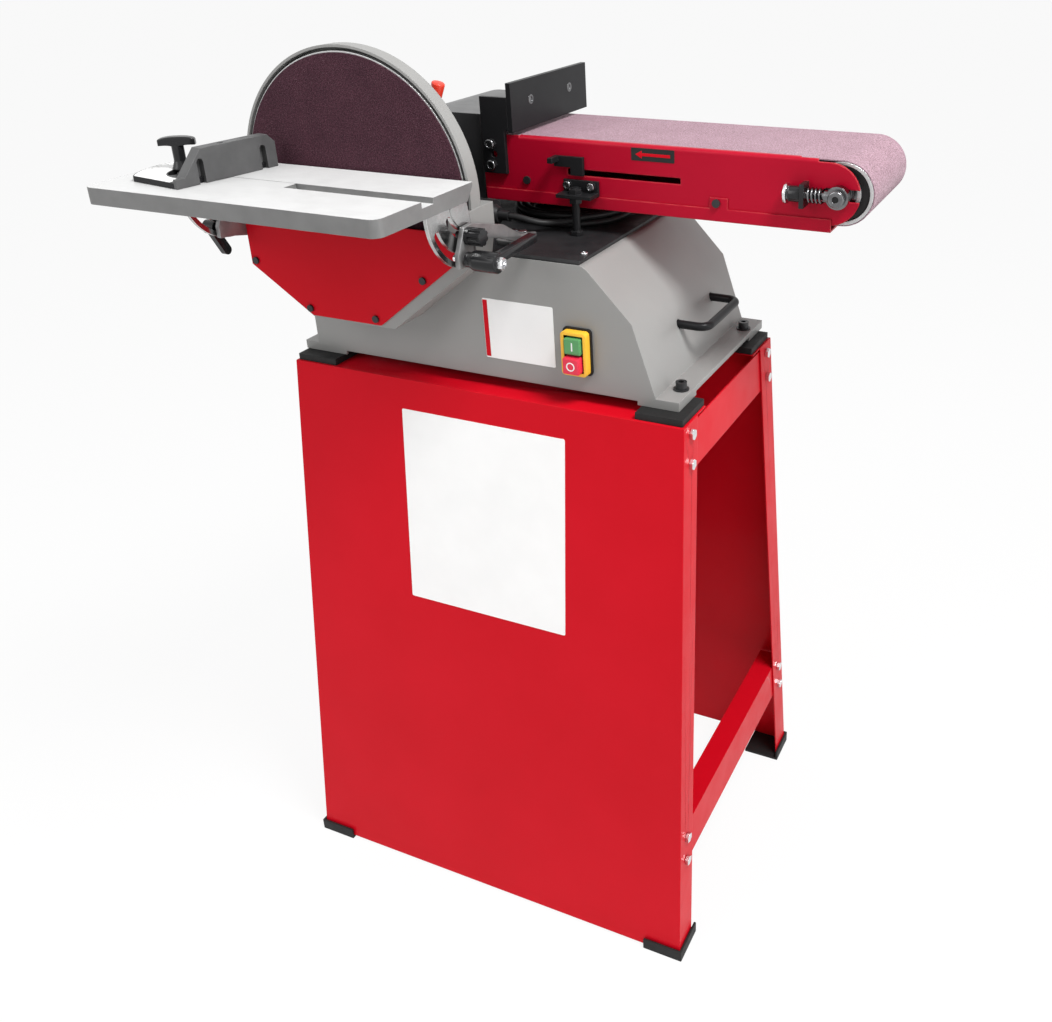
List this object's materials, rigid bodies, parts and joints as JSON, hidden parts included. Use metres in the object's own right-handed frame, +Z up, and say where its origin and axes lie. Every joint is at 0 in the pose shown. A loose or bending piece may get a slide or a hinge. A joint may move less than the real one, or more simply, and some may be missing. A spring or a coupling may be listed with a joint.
{
  "type": "belt disc sander",
  "caption": "Stationary belt and disc sander on a splayed sheet metal stand, with a tilting disc table, a miter gauge and a belt arm that swings upright.",
  "frame": {"origin": "on the floor, under the middle of the whole machine's footprint without its cord", "axes": "+X to the right along the belt arm, +Y to the back, +Z up; the disc and the switch face -Y"},
  "size_m": [0.7529, 0.556, 1.111],
  "materials": {
    "red_paint": "gloss",
    "grey_paint": "satin",
    "black_paint": "satin",
    "zinc_steel": "satin",
    "black_steel": "satin",
    "cast_alloy": "satin",
    "abrasive": "coarse",
    "rubber": "matte",
    "black_plastic": "matte",
    "yellow_plastic": "gloss",
    "green_plastic": "gloss",
    "red_plastic": "gloss",
    "cord_rubber": "matte",
    "motor_grey": "satin"
  },
  "bodies": {
    "machine": {"front_panel": "red_paint", "rear_panel": "red_paint", "stand_rails": "red_paint", "stand_bolts": "zinc_steel", "foot_caps": "rubber", "machine_pads": "rubber", "base_housing": "grey_paint", "base_bolts": "black_steel", "top_plate": "black_paint", "carry_handle": "black_steel", "switch_box": "yellow_plastic", "spindle_housing": "black_paint", "spindle_bearings": "zinc_steel", "drive_belt": "rubber", "motor": "motor_grey", "motor_cradle": "zinc_steel", "disc_housing": "grey_paint", "front_cover": "red_paint", "cover_screws": "black_steel", "trunnion_brackets": "cast_alloy", "bracket_bolts": "zinc_steel", "cord_gland": "black_plastic", "cord_lead": "cord_rubber", "cord_coil": "cord_rubber", "cord_tail": "cord_rubber", "cord_plug": "black_plastic"},
    "spindle": {"spindle_shaft": "zinc_steel", "spindle_pulley": "cast_alloy", "disc_plate": "cast_alloy", "abrasive_disc": "abrasive", "drive_drum": "cast_alloy"},
    "motor_rotor": {"motor_shaft": "zinc_steel", "motor_pulley": "cast_alloy"},
    "table": {"disc_table": "cast_alloy", "quadrants": "cast_alloy"},
    "lock_lever": {"table_lock_lever": "black_plastic"},
    "lock_knob": {"table_lock_knob": "black_plastic"},
    "left_lock": {"left_lock_lever": "black_plastic"},
    "miter_slide": {"miter_bar": "zinc_steel"},
    "miter_gauge": {"miter_head": "black_paint", "miter_fence": "black_plastic"},
    "miter_clamp": {"miter_knob": "black_plastic"},
    "arm": {"arm_frame": "red_paint", "arm_cover": "red_paint", "platen": "zinc_steel", "drum_hood": "black_paint", "abrasive_belt": "abrasive", "work_stop": "black_paint", "work_stop_bracket": "black_paint", "arm_stop": "black_steel", "arm_screws": "zinc_steel", "tension_spring": "zinc_steel"},
    "arm_lock": {"arm_lock_lever": "black_plastic"},
    "release_lever": {"tension_lever": "black_steel"},
    "idler_carriage": {"idler_fork": "black_steel", "tension_rod": "zinc_steel"},
    "idler": {"idler_drum": "cast_alloy", "idler_bearings": "zinc_steel"},
    "start": {"start_button": "green_plastic"},
    "stop": {"stop_button": "red_plastic"}
  },
  "joints": [
    {"name": "spindle_spin", "type": "hinge", "parent": "machine", "child": "spindle", "pos_m": [-0.1615, 0.00801, 0.962], "axis": [0, 1, 0], "continuous": true},
    {"name": "motor_spin", "type": "hinge", "parent": "machine", "child": "motor_rotor", "pos_m": [-0.1615, 0.05801, 0.812], "axis": [0, 1, 0], "continuous": true},
    {"name": "table_tilt", "type": "hinge", "parent": "machine", "child": "table", "pos_m": [-0.1935, -0.12999, 0.966], "axis": [1, 0, 0], "range_deg": [0, 45]},
    {"name": "lock_lever_turn", "type": "hinge", "parent": "machine", "child": "lock_lever", "pos_m": [0.0165, -0.15052, 0.90962], "axis": [1, 0, 0], "range_deg": [-30, 100]},
    {"name": "lock_knob_turn", "type": "hinge", "parent": "machine", "child": "lock_knob", "pos_m": [0.0065, -0.14231, 0.93217], "axis": [1, 0, 0], "range_deg": [-180, 180]},
    {"name": "left_lock_turn", "type": "hinge", "parent": "machine", "child": "left_lock", "pos_m": [-0.3435, -0.15052, 0.90962], "axis": [1, 0, 0], "range_deg": [-60, 60]},
    {"name": "miter_travel", "type": "slide", "parent": "table", "child": "miter_slide", "axis": [1, 0, 0], "range_m": [-0.04, 0.2]},
    {"name": "miter_swivel", "type": "hinge", "parent": "miter_slide", "child": "miter_gauge", "pos_m": [-0.2885, -0.19699, 0.985], "axis": [0, 0, 1], "range_deg": [-51, 69]},
    {"name": "miter_clamp_turn", "type": "hinge", "parent": "miter_slide", "child": "miter_clamp", "pos_m": [-0.3195, -0.19699, 1.01], "axis": [0, 0, 1], "range_deg": [-180, 180]},
    {"name": "arm_swing", "type": "hinge", "parent": "machine", "child": "arm", "pos_m": [-0.1615, 0.11801, 0.962], "axis": [0, -1, 0], "range_deg": [0, 90]},
    {"name": "arm_lock_turn", "type": "hinge", "parent": "machine", "child": "arm_lock", "pos_m": [-0.1275, -0.00699, 1.01], "axis": [0, 0, 1], "range_deg": [-45, 45]},
    {"name": "tension_release", "type": "slide", "parent": "arm", "child": "release_lever", "axis": [1, 0, 0], "range_m": [0, 0.12]},
    {"name": "idler_travel", "type": "slide", "parent": "arm", "child": "idler_carriage", "axis": [1, 0, 0], "range_m": [-0.0096, 0], "deforming": ["tension_spring"]},
    {"name": "idler_spin", "type": "hinge", "parent": "idler_carriage", "child": "idler", "pos_m": [0.342, 0.12001, 0.962], "axis": [0, 1, 0], "continuous": true},
    {"name": "start_press", "type": "slide", "parent": "machine", "child": "start", "axis": [0, 1, 0], "range_m": [0, 0.003], "stiffness_N_per_m": 400},
    {"name": "stop_press", "type": "slide", "parent": "machine", "child": "stop", "axis": [0, 1, 0], "range_m": [0, 0.003], "stiffness_N_per_m": 400}
  ],
  "couplings": [
    {"joint": "motor_spin", "follows": "spindle_spin", "ratio": 1},
    {"joint": "idler_spin", "follows": "spindle_spin", "ratio": 1},
    {"joint": "idler_travel", "follows": "tension_release", "ratio": -0.08}
  ]
}
